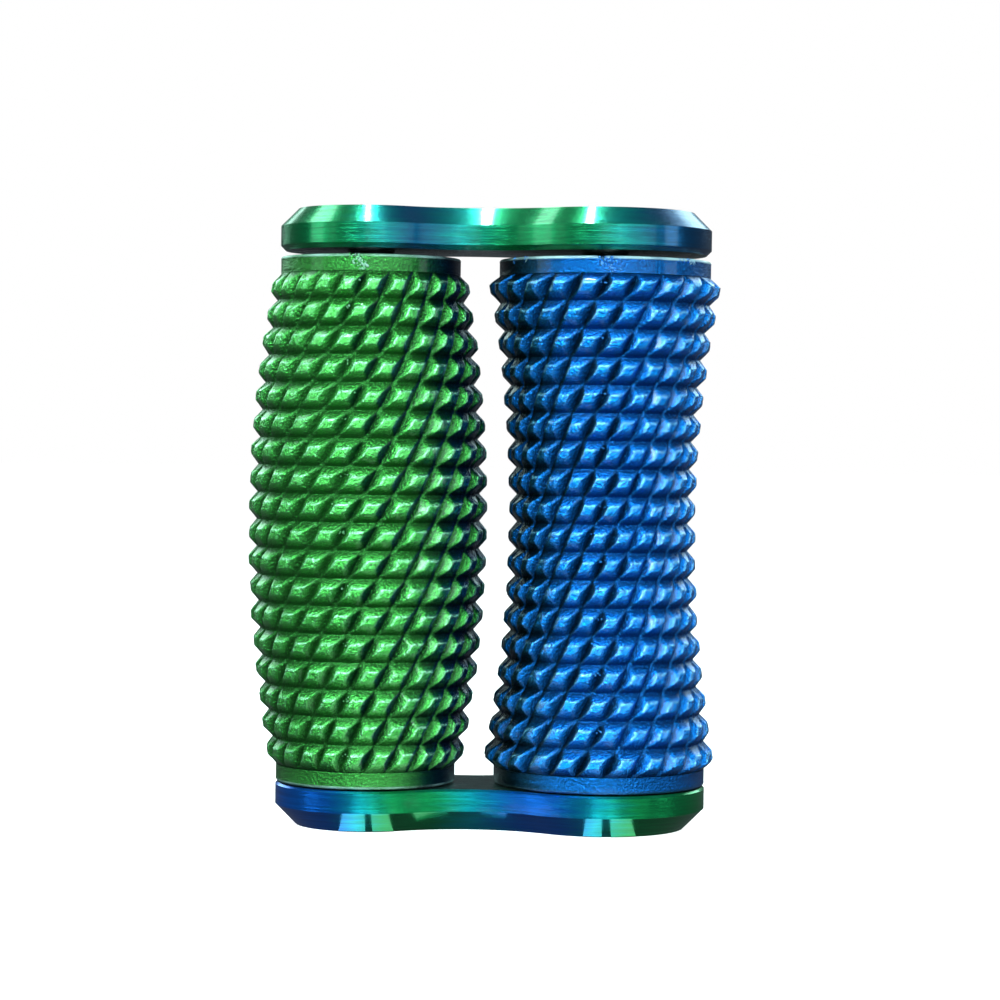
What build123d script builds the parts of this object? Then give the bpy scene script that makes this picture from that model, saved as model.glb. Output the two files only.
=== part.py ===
from build123d import *
from math import cos, pi, sin, sqrt
import os

# Two-roller foot massager, standing on its bottom plate. Millimetres, +Z up.
# X runs along the plates, barrel roller at -X and hourglass roller at +X.
# The origin is on the bottom plate's outer face, midway between the axles.

# Overall sizes
overall_height = 150.0
axle_spacing = 57.2
plate_thickness = 10.3

# End plate outline: one lobe round each axle, blended by a hollow on each side
lobe_overhang = 0.1
waist_blend_radius = 27.0
top_rim_bevel = 4.3
bottom_rim_bevel = 5.0
top_inner_bevel = 1.2
bottom_inner_bevel = 0.5

# Rollers: radii are measured to the flat tips of the studs
barrel_middle_radius = 29.2
barrel_end_radius = 24.1
middle_clearance = 5.15
end_clearance = 5.0
bottom_gap = 0.4
top_gap = 1.5
stud_rows = 18
studs_round = 24
stud_height = 2.0
tip_share = 0.36
band_height = 4.0
barrel_band_drop = 2.2
hourglass_band_drop = 2.3
band_step = 0.2
band_edge = 0.5

# Axles and what clamps them
axle_radius = 4.0
axle_seat_clearance = 0.05
axle_socket_depth = 3.6
axle_end_bevel = 0.4
thread_radius = 2.5
thread_clearance = 0.05
thread_depth = 12.0
screw_length = 12.0
screw_head_radius = 4.75
screw_head_height = 2.75
screw_head_round = 1.2
hex_across_corners_radius = 1.73
hex_depth = 1.6
screw_hole_clearance = 0.2
washer_radius = 5.0
washer_thickness = 1.0
counterbore_clearance = 0.5
screw_head_recess = 0.15

# Ball bearings, 608 size
bearing_radius = 11.0
bearing_width = 7.0
inner_land_radius = 6.3
outer_land_radius = 8.8
ball_circle_radius = 7.5
ball_radius = 1.985
ball_count = 7
groove_clearance = 0.065
pocket_clearance = 0.1
cage_land_gap = 0.45
cage_wall = 0.5
ring_edge = 0.3
slip_clearance = 0.02

# Between the bearings and the plates
bearing_recess = 0.4
bearing_shoulder = 1.5
spacer_wall = 1.8
spacer_clearance = 0.15
collar_wall = 1.75

# Sizes that follow from the ones above
barrel_x = -axle_spacing / 2
hourglass_x = axle_spacing / 2
roller_bottom = plate_thickness + bottom_gap
roller_length = overall_height - 2 * plate_thickness - bottom_gap - top_gap
roller_middle = roller_bottom + roller_length / 2
row_pitch = (roller_length - 2 * band_height) / stud_rows
hourglass_middle_radius = axle_spacing - barrel_middle_radius - middle_clearance
hourglass_end_radius = axle_spacing - barrel_end_radius - end_clearance
barrel_band_radius = barrel_end_radius - barrel_band_drop
hourglass_band_radius = hourglass_end_radius - hourglass_band_drop
barrel_lobe_radius = barrel_band_radius + lobe_overhang
hourglass_lobe_radius = hourglass_band_radius + lobe_overhang
collar_radius = axle_radius + axle_seat_clearance + collar_wall
collar_thickness = bottom_gap + bearing_recess
spacer_length = roller_length - 2 * (bearing_recess + bearing_width)
counterbore_depth = screw_head_recess + screw_head_height + washer_thickness
groove_radius = ball_radius + groove_clearance

os.makedirs("parts", exist_ok=True)

ABOVE = (Align.CENTER, Align.CENTER, Align.MIN)


def looking_in(x, end):
    """A plane on a plate's outer face at x, with its z axis pointing into the object."""
    if end == "lower":
        return Plane(origin=(x, 0, 0), x_dir=(1, 0, 0), z_dir=(0, 0, 1))
    return Plane(origin=(x, 0, overall_height), x_dir=(1, 0, 0), z_dir=(0, 0, -1))


def outline_points():
    """Where the lobes meet the hollows, and the middle of each hollow."""
    small = barrel_lobe_radius + waist_blend_radius
    large = hourglass_lobe_radius + waist_blend_radius
    blend_x = (small**2 - large**2) / (2 * axle_spacing)
    blend_y = sqrt(small**2 - (blend_x - barrel_x) ** 2)
    barrel_share = barrel_lobe_radius / small
    hourglass_share = hourglass_lobe_radius / large
    barrel_join = (barrel_x + (blend_x - barrel_x) * barrel_share, blend_y * barrel_share)
    hourglass_join = (hourglass_x + (blend_x - hourglass_x) * hourglass_share, blend_y * hourglass_share)
    hollow = (blend_x, blend_y - waist_blend_radius)
    return barrel_join, hollow, hourglass_join


def end_plate(name, end, rim_bevel, inner_bevel):
    """A figure-eight plate with a counterbored screw hole and an axle socket in each lobe."""
    barrel_join, hollow, hourglass_join = outline_points()
    plane = looking_in(0, end)
    inward = Axis(plane.origin, plane.z_dir)
    barrel_far = (barrel_x - barrel_lobe_radius, 0)
    hourglass_far = (hourglass_x + hourglass_lobe_radius, 0)
    barrel_low = (barrel_join[0], -barrel_join[1])
    hourglass_low = (hourglass_join[0], -hourglass_join[1])
    hollow_low = (hollow[0], -hollow[1])
    with BuildPart(plane) as plate:
        with BuildSketch(plane):
            with BuildLine():
                ThreePointArc(barrel_join, barrel_far, barrel_low)
                ThreePointArc(barrel_low, hollow_low, hourglass_low)
                ThreePointArc(hourglass_low, hourglass_far, hourglass_join)
                ThreePointArc(hourglass_join, hollow, barrel_join)
            make_face()
        extrude(amount=plate_thickness)
        chamfer(plate.edges().group_by(inward)[0], length=rim_bevel)
        chamfer(plate.edges().group_by(inward)[-1], length=inner_bevel)
        with Locations((barrel_x, 0, 0), (hourglass_x, 0, 0)):
            Cylinder(
                washer_radius + counterbore_clearance, counterbore_depth, align=ABOVE, mode=Mode.SUBTRACT
            )
            Cylinder(
                thread_radius + screw_hole_clearance, plate_thickness, align=ABOVE, mode=Mode.SUBTRACT
            )
        socket_floor = plate_thickness - axle_socket_depth
        with Locations((barrel_x, 0, socket_floor), (hourglass_x, 0, socket_floor)):
            Cylinder(
                axle_radius + axle_seat_clearance, axle_socket_depth, align=ABOVE, mode=Mode.SUBTRACT
            )
    plate.part.label = name
    export_step(plate.part, "parts/" + name + ".step")


def tip_radius(middle_radius, end_radius, height):
    """Radius to the stud tips at a height above the roller's middle."""
    last_row = (stud_rows - 1) / 2 * row_pitch
    return middle_radius + (end_radius - middle_radius) * (height / last_row) ** 2


def polar_point(radius, angle, height):
    """A point round the roller's own axis."""
    return Vector(radius * cos(angle), radius * sin(angle), height)


def groove_ring(row, middle_radius, end_radius, band_radius):
    """The crossings of the ring groove below a row with the slanted grooves."""
    height = (row - stud_rows / 2) * row_pitch
    radius = tip_radius(middle_radius, end_radius, height) - stud_height
    if row in (0, stud_rows):
        radius = band_radius - band_step
    step = 2 * pi / studs_round
    start = row * step / 2
    return [polar_point(radius, start + k * step, height) for k in range(studs_round)]


def stud_faces(corners, peak):
    """A stud: four flat sides that rise to a small flat tip below the peak."""
    tips = [peak + (corner - peak) * tip_share for corner in corners]
    faces = []
    for k in range(4):
        side = (corners[k - 1], corners[k], tips[k], tips[k - 1])
        faces.append(Face(Wire.make_polygon(side, close=True)))
    faces.append(Face(Wire.make_polygon((tips[0], tips[1], tips[2]), close=True)))
    faces.append(Face(Wire.make_polygon((tips[0], tips[2], tips[3]), close=True)))
    return faces


def studded_core(middle_radius, end_radius, band_radius):
    """The closed studded length. Each row is turned half a stud on from the row below."""
    rings = []
    for row in range(stud_rows + 1):
        rings.append(groove_ring(row, middle_radius, end_radius, band_radius))
    faces = [Face(Wire.make_polygon(rings[0], close=True)), Face(Wire.make_polygon(rings[-1], close=True))]
    step = 2 * pi / studs_round
    rise = stud_height / (1 - tip_share)
    for row in range(stud_rows):
        height = (row + 0.5 - stud_rows / 2) * row_pitch
        radius = tip_radius(middle_radius, end_radius, height) - stud_height + rise
        for k in range(studs_round):
            after = (k + 1) % studs_round
            corners = [rings[row][k], rings[row][after], rings[row + 1][after], rings[row + 1][k]]
            angle = (k + 0.5 + (row + 0.5) / 2) * step
            faces += stud_faces(corners, polar_point(radius, angle, height))
    return Solid(Shell(faces))


def end_band(x, end, band_radius):
    """The plain band at one end of a roller, with its outer rim broken."""
    bottom = roller_bottom
    rim = 0
    if end == "upper":
        bottom = roller_bottom + roller_length - band_height
        rim = -1
    with BuildPart(Plane.XY.offset(bottom)) as band:
        with Locations((x, 0, 0)):
            Cylinder(band_radius, band_height, align=ABOVE)
        chamfer(band.edges().sort_by(Axis.Z)[rim], length=band_edge)
    return band.part


def roller(name, x, middle_radius, end_radius, band_radius):
    """A studded roller with a plain band and a bearing seat at each end."""
    core = studded_core(middle_radius, end_radius, band_radius)
    lower_band = end_band(x, "lower", band_radius)
    upper_band = end_band(x, "upper", band_radius)
    seat_depth = bearing_recess + bearing_width
    with BuildPart() as body:
        with Locations((x, 0, roller_middle)):
            add(core)
        add(lower_band)
        add(upper_band)
        with Locations((x, 0, roller_bottom)):
            Cylinder(bearing_radius - bearing_shoulder, roller_length, align=ABOVE, mode=Mode.SUBTRACT)
        for seat_bottom in (roller_bottom, roller_bottom + roller_length - seat_depth):
            with Locations((x, 0, seat_bottom)):
                Cylinder(bearing_radius, seat_depth, align=ABOVE, mode=Mode.SUBTRACT)
    body.part.label = name
    export_step(body.part, "parts/" + name + ".step")


def axle(name, x):
    """A plain rod tapped at both ends."""
    socket_floor = plate_thickness - axle_socket_depth
    with BuildPart(Plane.XY.offset(socket_floor)) as rod:
        with Locations((x, 0, 0)):
            Cylinder(axle_radius, overall_height - 2 * socket_floor, align=ABOVE)
        chamfer(rod.edges().filter_by(GeomType.CIRCLE), length=axle_end_bevel)
        for end in (rod.faces().sort_by(Axis.Z)[0], rod.faces().sort_by(Axis.Z)[-1]):
            with BuildSketch(Plane(end)):
                Circle(thread_radius)
            extrude(amount=-thread_depth, mode=Mode.SUBTRACT)
    rod.part.label = name
    export_step(rod.part, "parts/" + name + ".step")


def spacer_tube(name, x):
    """The tube that holds a roller's two inner rings apart."""
    bore_radius = axle_radius + spacer_clearance
    with BuildPart(Plane.XY.offset(roller_middle)) as tube:
        with Locations((x, 0, 0)):
            Cylinder(bore_radius + spacer_wall, spacer_length)
            Cylinder(bore_radius, spacer_length, mode=Mode.SUBTRACT)
    tube.part.label = name
    export_step(tube.part, "parts/" + name + ".step")


def washer(name, x, end):
    """A flat washer on the counterbore's floor."""
    with BuildPart(looking_in(x, end)) as ring:
        with Locations((0, 0, counterbore_depth - washer_thickness)):
            Cylinder(washer_radius, washer_thickness, align=ABOVE)
            Cylinder(
                thread_radius + screw_hole_clearance, washer_thickness, align=ABOVE, mode=Mode.SUBTRACT
            )
    ring.part.label = name
    export_step(ring.part, "parts/" + name + ".step")


def screw(name, x, end):
    """A button-head socket screw that clamps a plate to an axle."""
    plane = looking_in(x, end)
    inward = Axis(plane.origin, plane.z_dir)
    with BuildPart(plane) as bolt:
        with Locations((0, 0, screw_head_recess)):
            Cylinder(screw_head_radius, screw_head_height, align=ABOVE)
        fillet(bolt.edges().group_by(inward)[0], radius=screw_head_round)
        with Locations((0, 0, screw_head_recess + screw_head_height)):
            Cylinder(thread_radius - thread_clearance, screw_length, align=ABOVE)
        with BuildSketch(plane.offset(screw_head_recess)):
            RegularPolygon(hex_across_corners_radius, 6)
        extrude(amount=hex_depth, mode=Mode.SUBTRACT)
    bolt.part.label = name
    export_step(bolt.part, "parts/" + name + ".step")


def collar(name, x, end):
    """A thin collar that keeps the roller off the plate."""
    with BuildPart(looking_in(x, end)) as ring:
        with Locations((0, 0, plate_thickness)):
            Cylinder(collar_radius, collar_thickness, align=ABOVE)
            Cylinder(
                axle_radius + axle_seat_clearance, collar_thickness, align=ABOVE, mode=Mode.SUBTRACT
            )
    ring.part.label = name
    export_step(ring.part, "parts/" + name + ".step")


def bearing_ring(name, x, z, inside_radius, outside_radius):
    """One bearing ring, with the ball groove in the face towards the balls."""
    with BuildPart(Plane.XY.offset(z)) as ring:
        with Locations((x, 0, 0)):
            Cylinder(outside_radius, bearing_width)
            Cylinder(inside_radius, bearing_width, mode=Mode.SUBTRACT)
        chamfer(ring.edges().filter_by(GeomType.CIRCLE), length=ring_edge)
        with Locations((x, 0, 0)):
            Torus(ball_circle_radius, groove_radius, mode=Mode.SUBTRACT)
    ring.part.label = name
    export_step(ring.part, "parts/" + name + ".step")


def ball_cage(name, x, z):
    """The ring that spaces the balls, with one round pocket for each."""
    pocket_radius = ball_radius + pocket_clearance
    with BuildPart(Plane.XY.offset(z)) as cage:
        with Locations((x, 0, 0)):
            Cylinder(outer_land_radius - cage_land_gap, 2 * (pocket_radius + cage_wall))
            Cylinder(
                inner_land_radius + cage_land_gap, 2 * (pocket_radius + cage_wall), mode=Mode.SUBTRACT
            )
            with PolarLocations(ball_circle_radius, ball_count):
                Cylinder(pocket_radius, outer_land_radius, rotation=(0, 90, 0), mode=Mode.SUBTRACT)
    cage.part.label = name
    export_step(cage.part, "parts/" + name + ".step")


def ball_set(name, x, z):
    """The balls of one bearing."""
    with BuildPart(Plane.XY.offset(z)) as balls:
        with Locations((x, 0, 0)):
            with PolarLocations(ball_circle_radius, ball_count):
                Sphere(ball_radius)
    balls.part.label = name
    export_step(balls.part, "parts/" + name + ".step")


def bearing(side, x, end):
    """One ball bearing, seated just inside a roller's end."""
    inset = bearing_recess + bearing_width / 2
    z = roller_bottom + inset
    if end == "upper":
        z = roller_bottom + roller_length - inset
    prefix = side + "_" + end
    bearing_ring(prefix + "_inner_ring", x, z, axle_radius + slip_clearance, inner_land_radius)
    bearing_ring(prefix + "_outer_ring", x, z, outer_land_radius, bearing_radius)
    ball_cage(prefix + "_ball_cage", x, z)
    ball_set(prefix + "_balls", x, z)


end_plate("bottom_end_plate", "lower", bottom_rim_bevel, bottom_inner_bevel)
end_plate("top_end_plate", "upper", top_rim_bevel, top_inner_bevel)
roller("barrel_roller", barrel_x, barrel_middle_radius, barrel_end_radius, barrel_band_radius)
roller(
    "hourglass_roller", hourglass_x, hourglass_middle_radius, hourglass_end_radius, hourglass_band_radius
)
for side, x in (("barrel", barrel_x), ("hourglass", hourglass_x)):
    axle(side + "_axle", x)
    spacer_tube(side + "_spacer_tube", x)
    for end in ("lower", "upper"):
        washer(side + "_" + end + "_washer", x, end)
        screw(side + "_" + end + "_screw", x, end)
        collar(side + "_" + end + "_collar", x, end)
        bearing(side, x, end)
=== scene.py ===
# %% [markdown]
# # A two-roller foot massager in two-colour printed plastic
#
# The object stands on end: a studded barrel roller and a studded hourglass roller between two
# figure-eight end plates. The plates, screws, axles and bearings come from the CAD frame with their
# exact shapes, and need only good materials. The two rollers are rebuilt here with rounded studs,
# because light on soft, slightly uneven edges is what makes printed plastic look real.
#
# The frame comes first, so every later step can ask it where things are.

import math
import random

import bmesh
import bpy
from mathutils import Matrix, Vector, noise


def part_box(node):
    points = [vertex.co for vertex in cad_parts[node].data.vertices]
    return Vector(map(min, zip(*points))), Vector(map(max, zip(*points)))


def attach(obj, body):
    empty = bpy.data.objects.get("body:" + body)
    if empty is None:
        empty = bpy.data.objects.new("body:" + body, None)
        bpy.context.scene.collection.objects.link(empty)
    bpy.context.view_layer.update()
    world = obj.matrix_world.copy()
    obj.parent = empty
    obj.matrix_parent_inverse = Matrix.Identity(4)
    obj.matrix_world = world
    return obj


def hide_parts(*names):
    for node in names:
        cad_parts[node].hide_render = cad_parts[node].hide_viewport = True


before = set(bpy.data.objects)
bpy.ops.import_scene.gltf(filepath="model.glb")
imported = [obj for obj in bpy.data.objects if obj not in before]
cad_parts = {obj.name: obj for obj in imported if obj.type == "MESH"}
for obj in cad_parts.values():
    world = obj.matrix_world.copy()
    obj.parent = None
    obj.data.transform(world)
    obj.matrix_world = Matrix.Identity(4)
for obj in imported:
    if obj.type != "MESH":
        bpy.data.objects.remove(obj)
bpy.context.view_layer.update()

# %% [markdown]
# ## Helpers for shader nodes
#
# A material can be clicked together in the shader editor or written out. Written out, each node is
# one line, so a reader can see the whole recipe. `place` adds a node and fills in its sockets by
# name, and `join` draws a link.

# %% Shader node helpers
MM = 0.001


def place(tree, kind, column, row, **values):
    """Add a node at a column and row of the editor. Values set sockets, or properties as `set_name`."""
    node = tree.nodes.new(kind)
    node.location = (220 * column, -180 * row)
    for name, value in values.items():
        if name.startswith("set_"):
            setattr(node, name[4:], value)
        else:
            node.inputs[name.replace("_", " ")].default_value = value
    return node


def join(tree, start, end):
    """Link an output socket to an input socket."""
    tree.links.new(start, end)


def sums(tree, operation, column, row, first, second=None, clamp=False):
    """A Math node fed by sockets or plain numbers. Returns its result."""
    node = place(tree, "ShaderNodeMath", column, row, set_operation=operation, set_use_clamp=clamp)
    for index, value in enumerate((first, second)):
        if value is None:
            continue
        if isinstance(value, (int, float)):
            node.inputs[index].default_value = value
        else:
            join(tree, value, node.inputs[index])
    return node.outputs[0]


def new_group(name, inputs, outputs):
    """An empty shader node group with named sockets. Returns its tree, input node and output node."""
    tree = bpy.data.node_groups.new(name, "ShaderNodeTree")
    for socket, kind, value in inputs:
        made = tree.interface.new_socket(socket, in_out="INPUT", socket_type=kind)
        made.default_value = value
    for socket, kind in outputs:
        tree.interface.new_socket(socket, in_out="OUTPUT", socket_type=kind)
    start = place(tree, "NodeGroupInput", -6, 0)
    end = place(tree, "NodeGroupOutput", 8, 0)
    return tree, start, end


def use_group(tree, group, column, row, **values):
    """Place a node group in a material with its own values."""
    node = place(tree, "ShaderNodeGroup", column, row)
    node.node_tree = group
    for name, value in values.items():
        node.inputs[name.replace("_", " ")].default_value = value
    return node


print("helpers ready")

# %% [markdown]
# ## Effect: two-colour filament
#
# The plastic strand is green down one side and blue down the other, and the nozzle lays it without
# twisting it. So a wall shows the colour of the side that faces out, and that depends only on which
# way the wall faces. A colour painted by position would miss the studs, whose flanks face both ways.
# Here the colour follows the surface normal in the piece's own space: its compass direction is
# turned into a share of green, and noise makes the change-over ragged, as it is in real filament.
# On the rollers, the colours for the sides that face the other roller are darker than the filament, as
# painted shade for the narrow gap between them.

# %% Build the two-colour filament group
COLOUR = "NodeSocketColor"
FLOAT = "NodeSocketFloat"

two_colour, start, end = new_group(
    "two_colour_filament",
    [
        ("Blue", COLOUR, (0.0, 0.1, 0.45, 1)),
        ("Teal", COLOUR, (0.0, 0.35, 0.38, 1)),
        ("Green", COLOUR, (0.02, 0.3, 0.1, 1)),
        ("Green turn", FLOAT, 0.5),
        ("Green width", FLOAT, 0.5),
        ("Softness", FLOAT, 0.1),
        ("Raggedness", FLOAT, 0.04),
    ],
    [("Color", COLOUR), ("Green share", FLOAT)],
)
where = place(two_colour, "ShaderNodeTexCoord", -6, 2)
facing = place(two_colour, "ShaderNodeSeparateXYZ", -5, 1)
join(two_colour, where.outputs["Normal"], facing.inputs[0])
compass = sums(two_colour, "ARCTAN2", -4, 1, facing.outputs["Y"], facing.outputs["X"])
turn = sums(two_colour, "DIVIDE", -3, 1, compass, math.tau)
stretch = place(two_colour, "ShaderNodeMapping", -5, 3, Scale=(60, 60, 900))
join(two_colour, where.outputs["Object"], stretch.inputs["Vector"])
ragged = place(two_colour, "ShaderNodeTexNoise", -4, 3, Scale=1.0, Detail=3.0)
join(two_colour, stretch.outputs[0], ragged.inputs["Vector"])
wander = sums(two_colour, "SUBTRACT", -3, 3, ragged.outputs["Fac"], 0.5)
wander = sums(two_colour, "MULTIPLY", -2, 3, wander, start.outputs["Raggedness"])
turn = sums(two_colour, "ADD", -2, 1, turn, wander)
away = sums(two_colour, "SUBTRACT", -1, 1, turn, start.outputs["Green turn"])
away = sums(two_colour, "WRAP", 0, 1, away, 0.5)
two_colour.nodes[-1].inputs[2].default_value = -0.5
away = sums(two_colour, "ABSOLUTE", 1, 1, away)
half = sums(two_colour, "MULTIPLY", 1, 2, start.outputs["Green width"], 0.5)
low = sums(two_colour, "SUBTRACT", 2, 2, half, start.outputs["Softness"])
high = sums(two_colour, "ADD", 2, 3, half, start.outputs["Softness"])
share = place(
    two_colour, "ShaderNodeMapRange", 3, 1, set_interpolation_type="SMOOTHSTEP", To_Min=1.0, To_Max=0.0
)
join(two_colour, away, share.inputs["Value"])
join(two_colour, low, share.inputs["From Min"])
join(two_colour, high, share.inputs["From Max"])
early = sums(two_colour, "MULTIPLY", 4, 1, share.outputs[0], 2.0, clamp=True)
late = sums(two_colour, "MULTIPLY_ADD", 4, 2, share.outputs[0], 2.0, clamp=True)
two_colour.nodes[-1].inputs[2].default_value = -1.0
to_teal = place(two_colour, "ShaderNodeMix", 5, 1, set_data_type="RGBA")
join(two_colour, early, to_teal.inputs["Factor"])
join(two_colour, start.outputs["Blue"], to_teal.inputs[6])
join(two_colour, start.outputs["Teal"], to_teal.inputs[7])
to_green = place(two_colour, "ShaderNodeMix", 6, 1, set_data_type="RGBA")
join(two_colour, late, to_green.inputs["Factor"])
join(two_colour, to_teal.outputs[2], to_green.inputs[6])
join(two_colour, start.outputs["Green"], to_green.inputs[7])
join(two_colour, to_green.outputs[2], end.inputs["Color"])
join(two_colour, share.outputs[0], end.inputs["Green share"])
print("two-colour filament group:", len(two_colour.nodes), "nodes")

# %% [markdown]
# ## Effect: printed layers
#
# Printing stacks strands about 0.2 mm high, and each strand is a little wider or narrower than the
# next, so a wall shows fine level lines and uneven streaks of light and dark. Modelling the lines
# would need millions of faces. A height for the Bump node does the same, with the lines from the
# fractional part of the height above the base, and the streaks from noise stretched level.

# %% Build the printed layers group
layers, start, end = new_group(
    "printed_layers",
    [
        ("Layer height", FLOAT, 0.2 * MM),
        ("Line depth", FLOAT, 0.5),
        ("Streak contrast", FLOAT, 0.3),
        ("Streaks per mm", FLOAT, 2.0),
        ("Crinkle", FLOAT, 0.0),
        ("Crinkles per mm", FLOAT, 0.8),
    ],
    [("Height", FLOAT), ("Tone", FLOAT)],
)
where = place(layers, "ShaderNodeTexCoord", -6, 2)
axes = place(layers, "ShaderNodeSeparateXYZ", -5, 2)
join(layers, where.outputs["Object"], axes.inputs[0])
strand = sums(layers, "DIVIDE", -4, 1, axes.outputs["Z"], start.outputs["Layer height"])
strand = sums(layers, "FRACT", -3, 1, strand)
strand = sums(layers, "SUBTRACT", -2, 1, strand, 0.5)
strand = sums(layers, "ABSOLUTE", -1, 1, strand)
strand = sums(layers, "POWER", 0, 1, strand, 2.0)
line = sums(layers, "MULTIPLY", 1, 1, strand, start.outputs["Line depth"])
level = place(layers, "ShaderNodeCombineXYZ", -3, 3)
for axis, per_metre in (("X", 45.0), ("Y", 45.0)):
    join(layers, sums(layers, "MULTIPLY", -4, 3, axes.outputs[axis], per_metre), level.inputs[axis])
fine = sums(layers, "MULTIPLY", -4, 4, start.outputs["Streaks per mm"], 1000.0)
join(layers, sums(layers, "MULTIPLY", -3, 4, axes.outputs["Z"], fine), level.inputs["Z"])
streak = place(layers, "ShaderNodeTexNoise", -2, 3, Scale=1.0, Detail=4.0, Roughness=0.65)
join(layers, level.outputs[0], streak.inputs["Vector"])
tone = sums(layers, "SUBTRACT", -1, 3, streak.outputs["Fac"], 0.5)
tone = sums(layers, "MULTIPLY", 0, 3, tone, start.outputs["Streak contrast"])
bright = sums(layers, "MULTIPLY_ADD", 1, 3, tone, 2.0)
layers.nodes[-1].inputs[2].default_value = 1.0
lumps = place(layers, "ShaderNodeTexNoise", -2, 5, Scale=1.0, Detail=2.0)
spread = sums(layers, "MULTIPLY", -4, 5, start.outputs["Crinkles per mm"], 1000.0)
sized = place(layers, "ShaderNodeVectorMath", -3, 5, set_operation="SCALE")
join(layers, where.outputs["Object"], sized.inputs[0])
join(layers, spread, sized.inputs["Scale"])
join(layers, sized.outputs[0], lumps.inputs["Vector"])
crinkle = sums(layers, "MULTIPLY", 0, 5, lumps.outputs["Fac"], start.outputs["Crinkle"])
height = sums(layers, "ADD", 2, 1, sums(layers, "ADD", 1, 2, line, tone), crinkle)
join(layers, height, end.inputs["Height"])
join(layers, bright, end.inputs["Tone"])
print("printed layers group:", len(layers.nodes), "nodes")

# %% [markdown]
# ## Effect: printed flats
#
# The flat top and bottom of a print are not level rings but a sheet of parallel strands, laid at 45
# degrees and turned by 90 degrees on the other side. The compass direction of such a face means
# nothing, so this group also gives a mask that is 1 on flats, which the finish uses to swap the colour.
# The strands come from the fractional part of a slanted distance. A Wave texture would do the lines
# too, but not the flat mask or the different slant above and below.

# %% Build the printed flats group
flats, start, end = new_group(
    "printed_flats",
    [("Strand width", FLOAT, 0.42 * MM), ("Strand depth", FLOAT, 0.9)],
    [("Flat", FLOAT), ("Height", FLOAT), ("Tone", FLOAT)],
)
where = place(flats, "ShaderNodeTexCoord", -6, 2)
spot = place(flats, "ShaderNodeSeparateXYZ", -5, 2)
join(flats, where.outputs["Object"], spot.inputs[0])
facing = place(flats, "ShaderNodeSeparateXYZ", -5, 1)
join(flats, where.outputs["Normal"], facing.inputs[0])
upright = sums(flats, "ABSOLUTE", -4, 1, facing.outputs["Z"])
flat = place(
    flats, "ShaderNodeMapRange", -3, 1, set_interpolation_type="SMOOTHSTEP", From_Min=0.9, From_Max=0.985
)
join(flats, upright, flat.inputs["Value"])
join(flats, flat.outputs[0], end.inputs["Flat"])
side = sums(flats, "SIGN", -4, 0, facing.outputs["Z"])
mirrored = sums(flats, "MULTIPLY", -4, 2, spot.outputs["Y"], side)
slanted = sums(flats, "ADD", -3, 2, mirrored, spot.outputs["X"])
strand = sums(flats, "DIVIDE", -2, 2, slanted, start.outputs["Strand width"])
strand = sums(flats, "FRACT", -2, 2, strand)
strand = sums(flats, "SUBTRACT", -1, 2, strand, 0.5)
strand = sums(flats, "ABSOLUTE", 0, 2, strand)
ridge = sums(flats, "MULTIPLY", 1, 2, strand, start.outputs["Strand depth"])
join(flats, sums(flats, "MULTIPLY", 2, 2, ridge, -1.0), end.inputs["Height"])
patches = place(flats, "ShaderNodeTexNoise", -1, 4, Scale=260.0, Detail=3.0)
join(flats, where.outputs["Object"], patches.inputs["Vector"])
shade = sums(flats, "MULTIPLY_ADD", 1, 4, patches.outputs["Fac"], 0.7)
flats.nodes[-1].inputs[2].default_value = 0.65
# The tone is darker in the low creases between strands: painted shade.
join(flats, sums(flats, "SUBTRACT", 2, 4, shade, ridge), end.inputs["Tone"])
print("printed flats group:", len(flats.nodes), "nodes")

# %% [markdown]
# ## Finish: silk printed plastic
#
# "Silk" plastic has a pearly, almost metallic shine: broad highlights, deep colour in the shade. A
# plain glossy plastic would show white highlights over a flat colour instead. The Principled shader
# is set mostly metallic, with a middling roughness, so that highlights take the plastic's colour, and
# a thin clear coat adds the small white ones. The three groups give the colour, the layers and the
# flats. Three marks stored in the rollers' meshes do the rest: `rise` paints shade into the grooves
# and the plain bands, lifts the stud tips a little as painted light, and gives the grooves less clear
# coat; `ridge` paints a highlight along the top and left edges of each stud tip; and `pale` whitens
# the band rims, the seam beads and the strings.

# %% Silk plastic material
SHINE = 0.8
ROUGHNESS = 0.24
ROUGHER_STREAKS = 0.12
CRINKLES_PER_MM = 1.7


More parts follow.
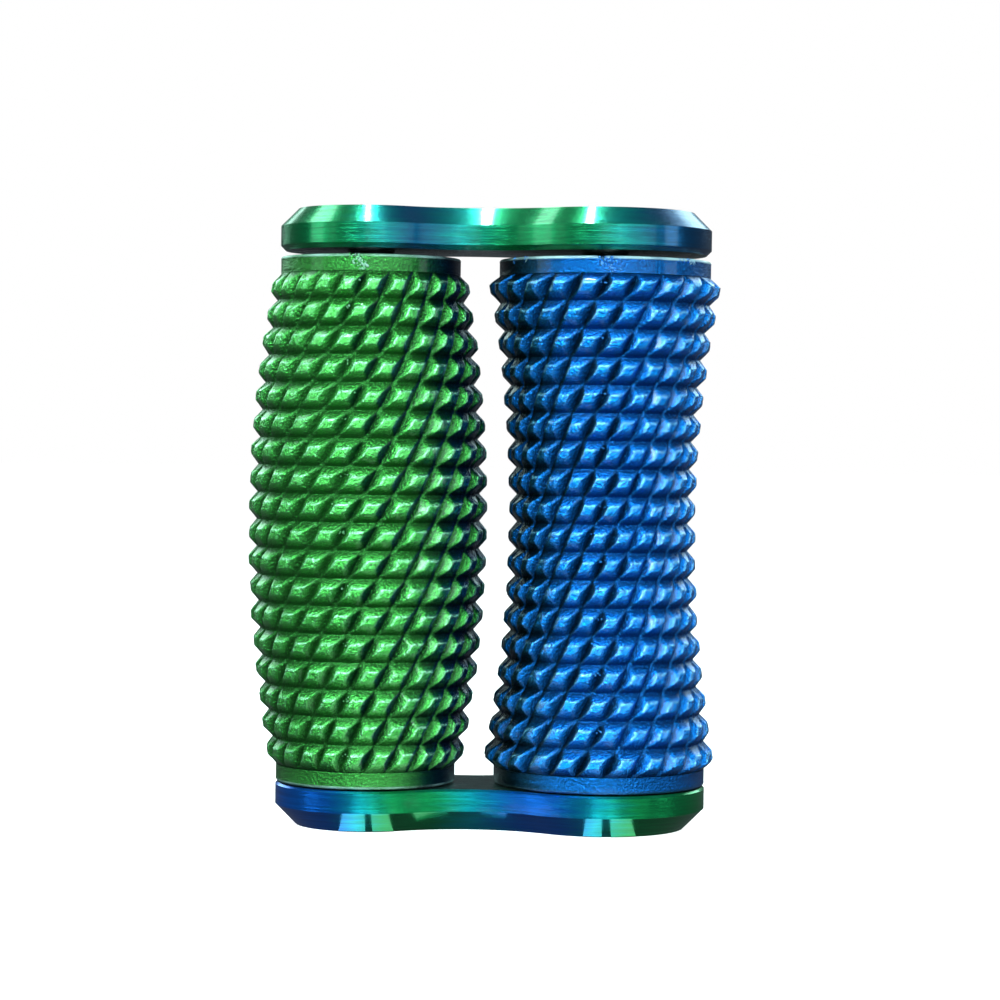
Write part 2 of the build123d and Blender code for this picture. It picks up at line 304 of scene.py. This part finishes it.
def silk_plastic(name, colours, ridge_highlight_colour=None, crinkle=0.0, streaks=0.35, depth=0.08):
    """A printed finish. colours are values of the filament group. ridge_highlight_colour: the colour of the
    painted highlight on the stud edges, for rollers with marks.
    """
    material = bpy.data.materials.new(name)
    material.use_nodes = True
    tree = material.node_tree
    shader = tree.nodes["Principled BSDF"]
    filament = use_group(tree, two_colour, -8, 0, **colours)
    print_lines = use_group(
        tree, layers, -8, 2, Streak_contrast=streaks, Crinkle=crinkle, Crinkles_per_mm=CRINKLES_PER_MM
    )
    sheet = use_group(tree, flats, -8, 4)
    colour = place(tree, "ShaderNodeMix", -6, 0, set_data_type="RGBA")
    join(tree, sheet.outputs["Flat"], colour.inputs["Factor"])
    join(tree, filament.outputs["Color"], colour.inputs[6])
    colour.inputs[7].default_value = FLAT_COLOUR
    tone = place(tree, "ShaderNodeMix", -6, 2)
    join(tree, sheet.outputs["Flat"], tone.inputs["Factor"])
    join(tree, print_lines.outputs["Tone"], tone.inputs[2])
    join(tree, sheet.outputs["Tone"], tone.inputs[3])
    height = place(tree, "ShaderNodeMix", -6, 4)
    join(tree, sheet.outputs["Flat"], height.inputs["Factor"])
    join(tree, print_lines.outputs["Height"], height.inputs[2])
    join(tree, sheet.outputs["Height"], height.inputs[3])
    rough = sums(tree, "MULTIPLY_ADD", -3, 2, tone.outputs[0], -ROUGHER_STREAKS)
    tree.nodes[-1].inputs[2].default_value = ROUGHNESS + ROUGHER_STREAKS
    lit = place(tree, "ShaderNodeVectorMath", -3, 0, set_operation="SCALE")
    join(tree, colour.outputs[2], lit.inputs[0])
    join(tree, tone.outputs[0], lit.inputs["Scale"])
    paint = lit.outputs[0]
    if ridge_highlight_colour:
        read = {}
        for row, mark in enumerate(("rise", "ridge", "pale")):
            reader = place(tree, "ShaderNodeAttribute", -6, 6 + row, set_attribute_name=mark)
            read[mark] = reader.outputs["Fac"]
        # Painted shade: the colour is darkened in the grooves and on the plain bands, and the stud tips are
        # lifted a little as painted light.
        groove_shade = place(
            tree, "ShaderNodeMapRange", -5, 6, From_Min=0.3, From_Max=0.96, To_Min=0.3, To_Max=1.15
        )
        join(tree, read["rise"], groove_shade.inputs["Value"])
        darker = place(tree, "ShaderNodeVectorMath", -2, 0, set_operation="SCALE")
        join(tree, paint, darker.inputs[0])
        join(tree, groove_shade.outputs[0], darker.inputs["Scale"])
        # Painted highlight: the ridge mark mixes a light colour into the top and left edges of each stud
        # tip.
        lighter = (("ridge", 0.75, ridge_highlight_colour), ("pale", 0.85, PALE_COLOUR))
        for row, (mark, strength, light) in enumerate(lighter):
            lightened = place(tree, "ShaderNodeMix", -1 + row, 0, set_data_type="RGBA")
            join(tree, sums(tree, "MULTIPLY", -2, 6 + row, read[mark], strength), lightened.inputs["Factor"])
            join(tree, darker.outputs[0] if mark == "ridge" else paint, lightened.inputs[6])
            lightened.inputs[7].default_value = light
            paint = lightened.outputs[2]
        less_metal = sums(tree, "MULTIPLY_ADD", -1, 4, read["pale"], -0.7)
        tree.nodes[-1].inputs[2].default_value = SHINE
        join(tree, less_metal, shader.inputs["Metallic"])
        join(tree, sums(tree, "MULTIPLY", -1, 5, read["rise"], 0.6), shader.inputs["Coat Weight"])
    else:
        shader.inputs["Metallic"].default_value = SHINE
    join(tree, paint, shader.inputs["Base Color"])
    join(tree, rough, shader.inputs["Roughness"])
    shader.inputs["IOR"].default_value = 1.46
    shader.inputs["Coat Weight"].default_value = 0.3
    shader.inputs["Coat Roughness"].default_value = 0.1
    bump = place(tree, "ShaderNodeBump", -2, 3, Strength=1.0, Distance=depth * MM)
    join(tree, height.outputs[0], bump.inputs["Height"])
    join(tree, bump.outputs[0], shader.inputs["Normal"])
    return material


def linear(red, green, blue):
    """A shader colour from the 0-255 values of a colour chart."""
    values = [channel / 255 for channel in (red, green, blue)]
    return tuple(v / 12.92 if v <= 0.04045 else ((v + 0.055) / 1.055) ** 2.4 for v in values) + (1,)


FLAT_COLOUR = linear(45, 110, 100)
PALE_COLOUR = linear(205, 235, 235)
top_print = silk_plastic(
    "print_top_plate",
    dict(
        Blue=linear(0, 74, 122), Teal=linear(0, 140, 135), Green=linear(5, 125, 72),
        Green_turn=0.47, Green_width=0.6, Softness=0.08, Raggedness=0.06,
    ),
    streaks=0.6,
)
bottom_print = silk_plastic(
    "print_bottom_plate",
    dict(
        Blue=linear(0, 100, 205), Teal=linear(0, 170, 190), Green=linear(5, 145, 80),
        Green_turn=0.03, Green_width=0.58, Softness=0.07, Raggedness=0.06,
    ),
    streaks=0.6,
)
# Painted shade: Blue and Teal here lie on the side facing the hourglass and round the back. They are
# darkened for the shade of the gap, and the back also stands for the filament's blue side.
barrel_print = silk_plastic(
    "print_barrel",
    dict(
        Blue=linear(0, 62, 112), Teal=linear(0, 90, 60), Green=linear(88, 200, 90),
        Green_turn=-0.34, Green_width=0.41, Softness=0.07, Raggedness=0.05,
    ),
    ridge_highlight_colour=linear(190, 255, 215), crinkle=2.6, depth=0.16,
)
# Painted shade: the Green slot here holds a dark teal, not green, on the side facing the barrel, as shade
# of the gap. Teal next to it is darkened the same way.
hourglass_print = silk_plastic(
    "print_hourglass",
    dict(
        Blue=linear(0, 140, 252), Teal=linear(0, 90, 140), Green=linear(0, 48, 62),
        Green_turn=-0.5, Green_width=0.27, Softness=0.06, Raggedness=0.05,
    ),
    ridge_highlight_colour=linear(150, 220, 255), crinkle=2.6, depth=0.16,
)
print("silk plastics: 4")

# %% [markdown]
# ## The rollers
#
# Each roller has 18 rows of 24 studs, and each row is turned half a stud on from the row below, so the
# slanted grooves run right up the roller as a steep thread. Displacement from a texture would need a
# grid fine enough for the sharpest ridge everywhere. Here one formula gives the height at any place on
# a stud, and the grid lines crowd together only where the ridges are. That keeps the ridges thin and
# round, and each point can also remember whether it lies in a groove, on a ridge or on a burr.

# %% Roller sizes
STUD_ROWS = 18
STUDS_ROUND = 24
STUD_HEIGHT = 2.0 * MM
TIP_ACROSS = 0.4
TIP_UP = 0.31
BAND_HEIGHT = 4.0 * MM
BAND_STEP = 0.2 * MM
SEAT_RADIUS = 11.0 * MM
SEAT_DEPTH = 7.4 * MM
BORE_RADIUS = 9.5 * MM
EDGE_SOFTNESS = 0.14
UNEVEN = 0.025
UNEVEN_HEIGHT = 0.04
TALLEST = 1.02
CRINKLE = 0.14 * MM

# Grid lines over one stud, as shares of its width and height, close together at the ridges
LINES_ACROSS = (0, 0.06, 0.14, 0.22, 0.28, 0.32, 0.4, 0.5, 0.6, 0.68, 0.72, 0.78, 0.86, 0.94)
LINES_UP = (0, 0.09, 0.18, 0.26, 0.32, 0.355, 0.42, 0.5, 0.58, 0.645, 0.68, 0.74, 0.82, 0.91)

rollers = {
    "barrel": dict(middle=29.2 * MM, end=24.1 * MM, band=21.9 * MM, material=barrel_print),
    "hourglass": dict(middle=22.85 * MM, end=28.1 * MM, band=25.8 * MM, material=hourglass_print),
}
for name, sizes in rollers.items():
    low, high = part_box(name + "_roller")
    sizes["x"] = (low.x + high.x) / 2
    sizes["low"] = low.z
    sizes["high"] = high.z
    print(name, "axis at", round(sizes["x"], 4), "from", round(low.z, 4), "to", round(high.z, 4))

# %% [markdown]
# ### The shape of one stud
#
# A stud is a pyramid with its top cut off. The height rises in a straight line from each groove, and the
# smallest of the rises and 1 is the shape. A plain minimum leaves knife-sharp edges, so a smooth
# minimum is used: where two of the slopes are nearly equal it dips a little, which rounds the ridge.


# %% Shape of a stud
def smooth_min(first, second, softness):
    """The smaller of two values, rounded off where they are nearly equal."""
    near = max(softness - abs(first - second), 0) / softness
    return min(first, second) - near * near * softness / 4


def ramp(place_in, tip_share):
    """Rise from the groove at 0 or 1 towards the middle of a stud. It passes 1 at the tip's edge."""
    return min(place_in, 1 - place_in) * 2 / (1 - tip_share)


def stud_rise(across, up):
    """Height on a stud from 0 in the groove to 1 on the tip."""
    slope = smooth_min(ramp(across, TIP_ACROSS), ramp(up, TIP_UP), EDGE_SOFTNESS)
    return smooth_min(slope, 1.0, EDGE_SOFTNESS)


def lit_ridge(across, up, wobble):
    """Painted highlight mask: 1 on the top and left ridges of the tip, which face the light, fading to 0
    within about 0.2 mm. wobble bends the line.
    """
    slope = min(ramp(across, TIP_ACROSS), ramp(up, TIP_UP)) + 0.12 * wobble
    line = max(0.0, 1 - abs(slope - 0.98) / 0.14)
    from_top = ramp(up, TIP_UP) < ramp(across, TIP_ACROSS)
    weight = (1.0 if up > 0.5 else 0.1) if from_top else (0.9 if across < 0.5 else 0.35)
    return line * weight


def tip_radius(sizes, height):
    """Radius to the stud tips at a height above the roller's middle."""
    pitch = (sizes["high"] - sizes["low"] - 2 * BAND_HEIGHT) / STUD_ROWS
    last_row = (STUD_ROWS - 1) / 2 * pitch
    return sizes["middle"] + (sizes["end"] - sizes["middle"]) * (height / last_row) ** 2


def round_axis(sizes, radius, turn, height):
    """A point round the roller's axis, at a height above its middle."""
    angle = turn * math.tau
    middle = (sizes["low"] + sizes["high"]) / 2
    return Vector((sizes["x"] + radius * math.cos(angle), radius * math.sin(angle), middle + height))


print("rise from groove to tip:", [round(stud_rise(k / 10, 0.5), 2) for k in range(6)])


# %% [markdown]
# ### Studs all round
#
# The studs could be one stud copied 432 times, but a print has no two alike and copies would leave
# seams in the grooves. So the sleeve is one grid of points carried up and round the roller. Chance
# moves and sizes each stud a little, and noise crinkles its faces by about a tenth of a millimetre.


# %% Build the studded sleeve
def add_point(mesh, point, **marks):
    """A vertex with its marks: rise, ridge and pale."""
    made = mesh.verts.new(point)
    for name, value in marks.items():
        made[mesh.verts.layers.float[name]] = value
    return made


def stud_sleeve(mesh, sizes, chance):
    """Lay the studs round the roller, row by row."""
    pitch = (sizes["high"] - sizes["low"] - 2 * BAND_HEIGHT) / STUD_ROWS
    edges = [(row - STUD_ROWS / 2) * pitch for row in range(STUD_ROWS + 1)]
    groove = [tip_radius(sizes, height) - STUD_HEIGHT for height in edges]
    groove[0] = groove[-1] = sizes["band"] - BAND_STEP
    slips = [
        [
            (chance.gauss(0, UNEVEN), chance.gauss(0, UNEVEN), chance.gauss(1, UNEVEN_HEIGHT))
            for k in range(STUDS_ROUND)
        ]
        for row in range(STUD_ROWS)
    ]
    rings = []
    for row in range(STUD_ROWS):
        for up in LINES_UP + ((1.0,) if row == STUD_ROWS - 1 else ()):
            height = (row + up - STUD_ROWS / 2) * pitch
            floor_radius = groove[row] + (groove[row + 1] - groove[row]) * up
            ring = []
            for k in range(STUDS_ROUND):
                slip_across, slip_up, tallness = slips[row][k]
                for across in LINES_ACROSS:
                    inward = 4 * across * (1 - across) * 4 * up * (1 - up)
                    a, b = across + slip_across * inward, up + slip_up * inward
                    rise = stud_rise(a, b)
                    turn = (k + across + (row + up) / 2) / STUDS_ROUND
                    full_height = tip_radius(sizes, height) - floor_radius
                    radius = floor_radius + full_height * rise * min(tallness, TALLEST)
                    point = round_axis(sizes, radius, turn, height)
                    bump = noise.noise(point / (1.1 * MM)) + 0.5 * noise.noise(point / (0.5 * MM))
                    point = round_axis(sizes, radius + CRINKLE * rise * min(bump, 0.3), turn, height)
                    ring.append(add_point(mesh, point, rise=rise, ridge=lit_ridge(a, b, bump)))
            rings.append(ring)
    for first, second in zip(rings, rings[1:]):
        for step in range(len(first)):
            after = (step + 1) % len(first)
            mesh.faces.new((first[step], first[after], second[after], second[step]))


# %% [markdown]
# ### Plain bands and bore
#
# The plain bands, the bearing seats and the bore are turned shapes. A turned shape is one profile
# carried round the axis. The rim of a printed band is never clean: it carries a thin pale line along
# its edge, a scar where each layer begins, and a few fine strings. They are small, but the eye looks
# for them, so they are built as real geometry with a `pale` mark.


# %% Build the bands, seats and bore
NOTCH = 0.9 * MM
RIM_WAVE = 0.05 * MM
# BAND_SHADE is the rise mark of the plain bands, so they take part of the painted groove shade.
BAND_SHADE = 0.42
TURNED_STEPS = 432


def turned(mesh, sizes, profile, steps, notch_turn):
    """Carry a profile of (radius, height, pale) points round the axis. A notch is cut in the top rim."""
    rings = []
    top = max(height for radius, height, pale in profile)
    for radius, height, pale in profile:
        ring = []
        for step in range(steps):
            turn = step / steps
            away = abs((turn - notch_turn + 0.5) % 1 - 0.5) * math.tau * radius
            dip = max(0, 1 - away / NOTCH) * NOTCH if height > top - 0.6 * MM else 0
            wave = noise.noise(Vector((turn * 40, height * 900, 3))) * RIM_WAVE * pale
            point = round_axis(sizes, radius + wave - dip * 0.3, turn, height - dip)
            patch = noise.noise(Vector((turn * 25, height * 500, 9)))
            patchy = max(0, min(1, pale * (0.9 + 0.9 * patch)))
            ring.append(add_point(mesh, point, rise=BAND_SHADE, pale=patchy))
        rings.append(ring)
    for first, second in zip(rings, rings[1:] + rings[:1]):
        for step in range(steps):
            after = (step + 1) % steps
            mesh.faces.new((first[step], first[after], second[after], second[step]))


def liner_profile(sizes):
    """The section of the roller's plain body: bands, rounded rims, seats and bore."""
    half = (sizes["high"] - sizes["low"]) / 2
    band = sizes["band"]
    rim = 0.5 * MM
    inner = SEAT_RADIUS + 1.5 * MM

    def half_section(pale):
        points = [(inner, half - BAND_HEIGHT, 0), (band, half - BAND_HEIGHT, 0)]
        points += [(band, half - BAND_HEIGHT * 0.6, 0)]
        points += [(band, half - 1.6 * rim, 0), (band + 0.04 * MM, half - rim, pale)]
        for step in range(1, 4):
            angle = step / 4 * math.pi / 2
            points.append((band - rim + rim * math.cos(angle), half - rim + rim * math.sin(angle), pale))
        points += [(band - rim, half, pale), (band - 3 * rim, half, 0), (SEAT_RADIUS, half, 0)]
        return points + [(SEAT_RADIUS, half - SEAT_DEPTH, 0), (BORE_RADIUS, half - SEAT_DEPTH, 0)]

    bottom = reversed(half_section(sizes["pale_bottom"]))
    lower = [(radius, -height, pale) for radius, height, pale in bottom]
    return half_section(sizes["pale_top"]) + lower


def blob(mesh, centre, size, pale):
    """A little bead of plastic."""
    made = bmesh.ops.create_icosphere(mesh, subdivisions=2, radius=size, matrix=Matrix.Translation(centre))
    for point in made["verts"]:
        point.co = centre + (point.co - centre) * (1 + 0.35 * noise.noise(point.co / (0.4 * MM)))
        point[mesh.verts.layers.float["rise"]] = 0.9
        point[mesh.verts.layers.float["pale"]] = pale


def string(mesh, path, thickness, pale):
    """A fine string of plastic along a few points."""
    rings = []
    for point in path:
        corners = [Vector((thickness * math.cos(a), 0, thickness * math.sin(a))) for a in (0, 2.1, 4.2)]
        rings.append([add_point(mesh, point + corner, rise=0.9, pale=pale) for corner in corners])
    for first, second in zip(rings, rings[1:]):
        for side in range(3):
            after = (side + 1) % 3
            mesh.faces.new((first[side], first[after], second[after], second[side]))
    mesh.faces.new(rings[0])
    mesh.faces.new(rings[-1])


# %% [markdown]
# ### Seam scar and strings
#
# Each layer starts and ends at one spot, which leaves a column of beads, and hot plastic pulls fine
# strings when the nozzle leaves. A bump map could draw both, but they stand off the surface and catch
# light at its outline. Here they are little rough spheres and thin three-sided tubes, joined into the
# roller's piece so that they turn with it.


# %% Add the seam scar and the strings
BEADS_ON_BAND = 44
BEADS_PER_ROW = 5
STRING_RADIUS = 0.06 * MM


def seam(mesh, sizes, chance):
    """Beads where the layers begin, thickest on the top band and fainter down the studs."""
    half = (sizes["high"] - sizes["low"]) / 2
    pitch = (2 * half - 2 * BAND_HEIGHT) / STUD_ROWS
    for k in range(BEADS_ON_BAND):
        depth = chance.uniform(0.4, 3.8) * MM
        sideways = (chance.gauss(0.8, 1.0) + depth / MM * 0.4) * MM
        turn = sizes["seam"] + sideways / sizes["band"] / math.tau
        centre = round_axis(sizes, sizes["band"] - 0.02 * MM, turn, half - depth)
        size = chance.uniform(0.12, 0.38) * MM
        blob(mesh, centre, size, chance.uniform(0.3, 1.0) * sizes["scar"])
    for row in range(STUD_ROWS):
        height = (row + 0.62 - STUD_ROWS / 2) * pitch
        for k in range(BEADS_PER_ROW):
            turn = sizes["seam"] + chance.gauss(0.4, 0.9) * MM / sizes["end"] / math.tau
            low_by = abs(chance.gauss(0, 0.5)) * MM
            radius = tip_radius(sizes, height) - 0.35 * MM - low_by / 2
            centre = round_axis(sizes, radius, turn, height + low_by)
            size = chance.uniform(0.1, 0.26) * MM
            blob(mesh, centre, size, chance.uniform(0.1, 0.6) * sizes["scar"])


def strings(mesh, sizes, chance):
    """A fringe of short strings that hang from the top rim, in two places."""
    half = (sizes["high"] - sizes["low"]) / 2
    for turn_at, count in sizes["fringe"]:
        for k in range(count):
            turn = turn_at + chance.gauss(0, 0.012)
            reach = chance.uniform(0.5, 1.6) * MM
            path = []
            for step in range(5):
                share = step / 4
                radius = sizes["band"] + (0.25 * math.sin(share * 3) - 0.1) * MM
                sway = share * chance.gauss(0, 0.004)
                path.append(round_axis(sizes, radius, turn + sway, half - reach * share))
            string(mesh, path, STRING_RADIUS, chance.choice((0.05, 0.9, 1.0)))


def build_roller(name, seed):
    """Join studs and plain body into one piece that stands for the CAD roller."""
    sizes = rollers[name]
    chance = random.Random(seed)
    mesh = bmesh.new()
    for mark in ("rise", "ridge", "pale"):
        mesh.verts.layers.float.new(mark)
    stud_sleeve(mesh, sizes, chance)
    turned(mesh, sizes, liner_profile(sizes), TURNED_STEPS, sizes["seam"])
    seam(mesh, sizes, chance)
    strings(mesh, sizes, chance)
    bmesh.ops.recalc_face_normals(mesh, faces=mesh.faces)
    data = bpy.data.meshes.new(name + "_print")
    mesh.to_mesh(data)
    mesh.free()
    data.materials.append(sizes["material"])
    for face in data.polygons:
        face.use_smooth = True
    piece = bpy.data.objects.new(name + "_print", data)
    bpy.context.scene.collection.objects.link(piece)
    data.set_sharp_from_angle(angle=math.radians(60))
    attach(piece, name)
    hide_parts(name + "_roller")
    print(name, "faces:", len(data.polygons))
    return piece


# seam: turns from +X to the seam. fringe: turns from +X and number of strings, for each fringe
rollers["barrel"].update(
    pale_top=0.55, pale_bottom=0.5, seam=-0.276, scar=1.0, fringe=((-0.276, 4),)
)
rollers["hourglass"].update(
    pale_top=1.0, pale_bottom=0.05, seam=-0.262, scar=0.25, fringe=((-0.4, 5), (-0.11, 12))
)
barrel_piece = build_roller("barrel", 11)
hourglass_piece = build_roller("hourglass", 23)

# %% [markdown]
# ## Metal and nylon parts
#
# The axles, screws, washers, bearings and collars are standard parts in steel, aluminium and nylon.
# Turned or rolled metal is never one flat grey: tool marks run round it and its gloss changes along
# them. One group makes that grain for all of the metals, and each material gives it its own scale.

# %% Build the worked metal group
worked_metal, start, end = new_group(
    "worked_metal",
    [("Grain scale", FLOAT, 900.0), ("Grain", FLOAT, 0.3), ("Base roughness", FLOAT, 0.3)],
    [("Tone", FLOAT), ("Roughness", FLOAT), ("Height", FLOAT)],
)
where = place(worked_metal, "ShaderNodeTexCoord", -6, 2)
grain = place(worked_metal, "ShaderNodeTexNoise", -4, 2, Detail=5.0, Roughness=0.6)
flatten = place(worked_metal, "ShaderNodeMapping", -5, 2, Scale=(0.25, 0.25, 4))
join(worked_metal, where.outputs["Object"], flatten.inputs["Vector"])
join(worked_metal, flatten.outputs[0], grain.inputs["Vector"])
join(worked_metal, start.outputs["Grain scale"], grain.inputs["Scale"])
swing = sums(worked_metal, "SUBTRACT", -3, 2, grain.outputs["Fac"], 0.5)
swing = sums(worked_metal, "MULTIPLY", -2, 2, swing, start.outputs["Grain"])
join(worked_metal, sums(worked_metal, "ADD", -1, 1, swing, 1.0), end.inputs["Tone"])
uneven = sums(worked_metal, "ADD", -1, 2, swing, start.outputs["Base roughness"])
join(worked_metal, uneven, end.inputs["Roughness"])
join(worked_metal, swing, end.inputs["Height"])


def metal(name, colour, base_roughness, grain_scale, grain_depth):
    """A worked metal with its own grain."""
    material = bpy.data.materials.new(name)
    material.use_nodes = True
    tree = material.node_tree
    shader = tree.nodes["Principled BSDF"]
    marks = use_group(
        tree, worked_metal, -6, 0, Grain_scale=grain_scale, Grain=grain_depth, Base_roughness=base_roughness
    )
    lit = place(tree, "ShaderNodeVectorMath", -3, 0, set_operation="SCALE")
    lit.inputs[0].default_value = colour[:3]
    join(tree, marks.outputs["Tone"], lit.inputs["Scale"])
    join(tree, lit.outputs[0], shader.inputs["Base Color"])
    join(tree, marks.outputs["Roughness"], shader.inputs["Roughness"])
    shader.inputs["Metallic"].default_value = 1.0
    bump = place(tree, "ShaderNodeBump", -3, 2, Strength=0.4, Distance=0.02 * MM)
    join(tree, marks.outputs["Height"], bump.inputs["Height"])
    join(tree, bump.outputs[0], shader.inputs["Normal"])
    return material


axle_steel = metal("drawn_axle_steel", linear(196, 198, 202), 0.28, 700.0, 0.25)
screw_steel = metal("zinc_screw_steel", linear(190, 194, 200), 0.34, 1500.0, 0.3)
bearing_steel = metal("ground_bearing_steel", linear(205, 206, 210), 0.16, 2200.0, 0.12)
dark_collar = metal("black_anodised_collar", linear(26, 27, 30), 0.4, 1800.0, 0.3)
spacer_alloy = metal("turned_alloy", linear(214, 215, 218), 0.3, 1800.0, 0.3)
cage_nylon = metal("cage_nylon", linear(44, 44, 48), 0.5, 1200.0, 0.2)
cage_nylon.node_tree.nodes["Principled BSDF"].inputs["Metallic"].default_value = 0.0

# %% [markdown]
# ### Which part gets which finish
#
# The names of the CAD parts end in what they are, such as `axle` or `washer`. A list of 36 names would
# work as well, but one finish per ending is shorter and both sides of the object stay alike.

# %% Put a material on every CAD node
finishes = {
    "axle": axle_steel,
    "washer": screw_steel,
    "screw": screw_steel,
    "collar": dark_collar,
    "spacer_tube": spacer_alloy,
    "inner_ring": bearing_steel,
    "outer_ring": bearing_steel,
    "balls": bearing_steel,
    "ball_cage": cage_nylon,
}


def finish_for(name):
    """The material of a CAD node, from the end of its name."""
    if name == "top_end_plate":
        return top_print
    if name == "bottom_end_plate":
        return bottom_print
    for ending, material in finishes.items():
        if name.endswith(ending):
            return material
    return rollers[name.split("_")[0]]["material"]


for name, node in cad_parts.items():
    node.data.materials.clear()
    node.data.materials.append(finish_for(name))
print("painted", len(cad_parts), "nodes")

# %% [markdown]
# ## Camera, floor and light
#
# The camera is level with the upper half of the object and about 0.72 m away, so the underside of the
# top plate and the upper side of the bottom plate both show a little. The floor and the air are
# nearly white. A bright surround would wash out a shiny object, so the world is white only for the
# camera and dim for reflections, and soft boxes overhead and at the sides shape the highlights.

# %% Camera
SENSOR_WIDTH = 36
VIEW_WIDTH = 244.8 * MM
EYE_DISTANCE = 719.7 * MM
OFF_CENTRE = Vector((-3.655, 0, -4.56)) * MM
object_middle = Vector((0, 0, 75 * MM))

turn_object = (
    Matrix.Rotation(math.radians(0.739), 3, "Y")
    @ Matrix.Rotation(math.radians(1.42), 3, "X")
    @ Matrix.Rotation(math.radians(0.27), 3, "Z")
)
to_world = turn_object.transposed()
eye = object_middle - to_world @ (OFF_CENTRE + Vector((0, EYE_DISTANCE, 0)))
camera_data = bpy.data.cameras.new("camera")
camera_data.sensor_width = SENSOR_WIDTH
camera_data.lens = SENSOR_WIDTH * EYE_DISTANCE / VIEW_WIDTH
camera = bpy.data.objects.new("camera", camera_data)
right, up, back = (to_world @ Vector(way) for way in ((1, 0, 0), (0, 0, 1), (0, -1, 0)))
axes = Matrix((right, up, back)).transposed()
camera.matrix_world = Matrix.Translation(eye) @ axes.to_4x4()
bpy.context.scene.collection.objects.link(camera)
bpy.context.scene.camera = camera
print("eye", [round(v, 4) for v in eye], "lens", round(camera_data.lens, 1))


# %% [markdown]
# ### What the shine reflects
#
# A metallic finish shows mostly its surroundings, so each lamp here is there for the streak it makes:
# the small spot for the bright dot on the top, the front boxes for the faces of the studs, the side
# and back boxes for the outlines. Small cards lie on the table in front, unseen by the camera, and
# give the lower bevel its broken row of highlights. A picture of a room would do it in one step, but
# then no single streak could be moved.


# %% Floor, world and lights
COOL = (0.72, 1.0, 0.98)


def soft_box(name, place_at, size, power, aim_at=(0, 0, 0.08)):
    """A cool rectangular area light aimed at a point, the object's middle if none is given."""
    data = bpy.data.lights.new(name, "AREA")
    data.shape = "RECTANGLE"
    data.size, data.size_y = size
    data.energy = power
    data.color = COOL
    lamp = bpy.data.objects.new(name, data)
    lamp.location = place_at
    lamp.rotation_euler = (Vector(aim_at) - Vector(place_at)).to_track_quat("-Z", "Y").to_euler()
    bpy.context.scene.collection.objects.link(lamp)
    return lamp


bpy.ops.mesh.primitive_plane_add(size=12, location=(0, 0, 0))
floor = bpy.context.object
floor.name = "floor"
floor_paint = bpy.data.materials.new("pale_floor")
floor_paint.use_nodes = True
floor_shader = floor_paint.node_tree.nodes["Principled BSDF"]
floor_shader.inputs["Base Color"].default_value = (0.9, 0.9, 0.9, 1)
floor_shader.inputs["Roughness"].default_value = 0.9
floor_shader.inputs["Emission Color"].default_value = (1, 1, 1, 1)
floor_shader.inputs["Emission Strength"].default_value = 0.98
floor.data.materials.append(floor_paint)
floor.visible_glossy = False
floor.visible_diffuse = False

glow_paint = bpy.data.materials.new("bright_card")
glow_paint.use_nodes = True
glow_shader = glow_paint.node_tree.nodes["Principled BSDF"]
glow_shader.inputs["Base Color"].default_value = (0.8, 0.8, 0.8, 1)
glow_shader.inputs["Emission Color"].default_value = (0.85, 1, 0.9, 1)
glow_shader.inputs["Emission Strength"].default_value = 1.1

# Each card's place along the plates and its width, in millimetres
CARDS = ((-31, 6.5), (-23.5, 5), (-11, 7), (2, 5), (26.5, 4.5), (34, 6))
CARD_DEPTH = 40 * MM
for along, width in CARDS:
    bpy.ops.mesh.primitive_plane_add(size=1, location=(along * MM, -35 * MM, 0.2 * MM))
    card = bpy.context.object
    card.name = "table_card"
    card.scale = (width * MM, CARD_DEPTH, 1)
    card.data.materials.append(glow_paint)
    card.visible_camera = False
    card.visible_diffuse = False

world = bpy.data.worlds.new("air")
bpy.context.scene.world = world
world.use_nodes = True
air = world.node_tree
air.nodes.clear()
ray = place(air, "ShaderNodeLightPath", 0, 0)
seen = place(air, "ShaderNodeBackground", 1, 0, Color=(1, 1, 1, 1), Strength=1.0)
felt = place(air, "ShaderNodeBackground", 1, 1, Color=(0.8, 0.9, 1, 1), Strength=0.1)
either = place(air, "ShaderNodeMixShader", 2, 0)
out = place(air, "ShaderNodeOutputWorld", 3, 0)
join(air, ray.outputs["Is Camera Ray"], either.inputs[0])
join(air, felt.outputs[0], either.inputs[1])
join(air, seen.outputs[0], either.inputs[2])
join(air, either.outputs[0], out.inputs["Surface"])

soft_box("overhead_spot", (-0.055, 0.04, 0.72), (0.035, 0.035), 1.5, aim_at=(0, 0, 0.15))
soft_box("overhead_soft", (-0.36, 0.2, 0.68), (0.2, 0.2), 1.2)
soft_box("front", (-0.15, -1.0, 0.8), (1.0, 0.5), 14.0)
soft_box("window", (-0.4, -0.75, 0.62), (0.14, 0.14), 2.4)
soft_box("left_front", (-0.8, -0.55, 0.4), (0.4, 0.4), 0.9)
soft_box("right_front", (0.6, -0.9, 0.3), (0.8, 0.6), 2.6)
soft_box("low_front", (0.1, -1.2, 0.1), (0.5, 0.3), 1.0)
soft_box("right_side", (0.8, -0.25, 0.35), (0.25, 0.5), 1.6)
soft_box("left_side", (-0.85, -0.3, 0.3), (0.3, 0.5), 1.6)
soft_box("back", (0.35, 0.7, 0.75), (0.4, 0.3), 2.0)
soft_box("back_left", (-0.7, 0.9, 0.5), (0.6, 0.4), 3.0)
soft_box("back_right", (0.7, 1.0, 0.6), (0.6, 0.4), 3.0)
bpy.context.scene.view_settings.view_transform = "Standard"
bpy.context.scene.view_settings.look = "None"
